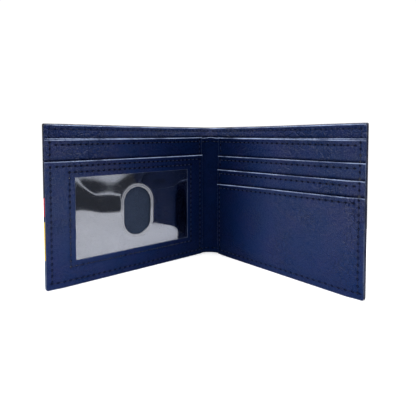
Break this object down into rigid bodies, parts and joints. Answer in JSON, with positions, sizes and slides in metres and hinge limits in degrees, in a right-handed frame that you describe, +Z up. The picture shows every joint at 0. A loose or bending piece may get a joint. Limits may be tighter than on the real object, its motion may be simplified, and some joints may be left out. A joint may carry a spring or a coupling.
{
  "type": "bifold wallet",
  "caption": "Open bifold wallet: printed cover folding at a spine strip, bill compartment, clear ID window pocket on one half and stepped card pockets on the other.",
  "frame": {"origin": "centre of the spine strip's lower end, in the middle of the cover's thickness, on the surface the wallet stands on", "axes": "+X along the width of the open wallet, towards the card pockets; +Y out of the back of the spine, so the wallet opens towards -Y; +Z up along the fold lines"},
  "size_m": [0.1698, 0.0828, 0.09],
  "materials": {
    "navy_leather": "pebbled navy coated leather with a soft sheen",
    "printed_cover": "smooth coated leather with plain printed stripes of red and yellow on navy",
    "leatherboard": "plain grey board of bonded leather fibre",
    "liner_cloth": "thin dark woven lining cloth",
    "clear_film": "clear glossy soft vinyl film, slightly wavy",
    "thread": "dark navy sewing thread"
  },
  "bodies": {
    "spine": {"cover_spine": "printed_cover", "lining_spine": "navy_leather", "divider_spine": "navy_leather", "spine_stitching": "thread"},
    "left_half": {"cover_left": "printed_cover", "stiffener_left": "leatherboard", "lining_left": "navy_leather", "divider_left": "navy_leather", "slip_pocket_left": "navy_leather", "window_film": "clear_film", "window_frame": "navy_leather", "cover_stitching_left": "thread", "edge_stitching_left": "thread", "pocket_stitching_left": "thread", "window_stitching": "thread"},
    "right_half": {"cover_right": "printed_cover", "stiffener_right": "leatherboard", "lining_right": "navy_leather", "divider_right": "navy_leather", "card_pocket_1": "navy_leather", "card_pocket_2": "navy_leather", "card_pocket_3": "navy_leather", "card_pocket_4": "navy_leather", "card_liner_1": "liner_cloth", "card_liner_2": "liner_cloth", "card_liner_3": "liner_cloth", "cover_stitching_right": "thread", "edge_stitching_right": "thread", "pocket_stitching_right": "thread"}
  },
  "joints": [
    {"name": "left_fold", "type": "hinge", "parent": "spine", "child": "left_half", "pos_m": [-0.0034, -0.00137, 0], "axis": [0, 0, 1], "range_deg": [-44.6, 45.4]},
    {"name": "right_fold", "type": "hinge", "parent": "spine", "child": "right_half", "pos_m": [0.0034, -0.00137, 0], "axis": [0, 0, -1], "range_deg": [-44.6, 45.4]}
  ]
}
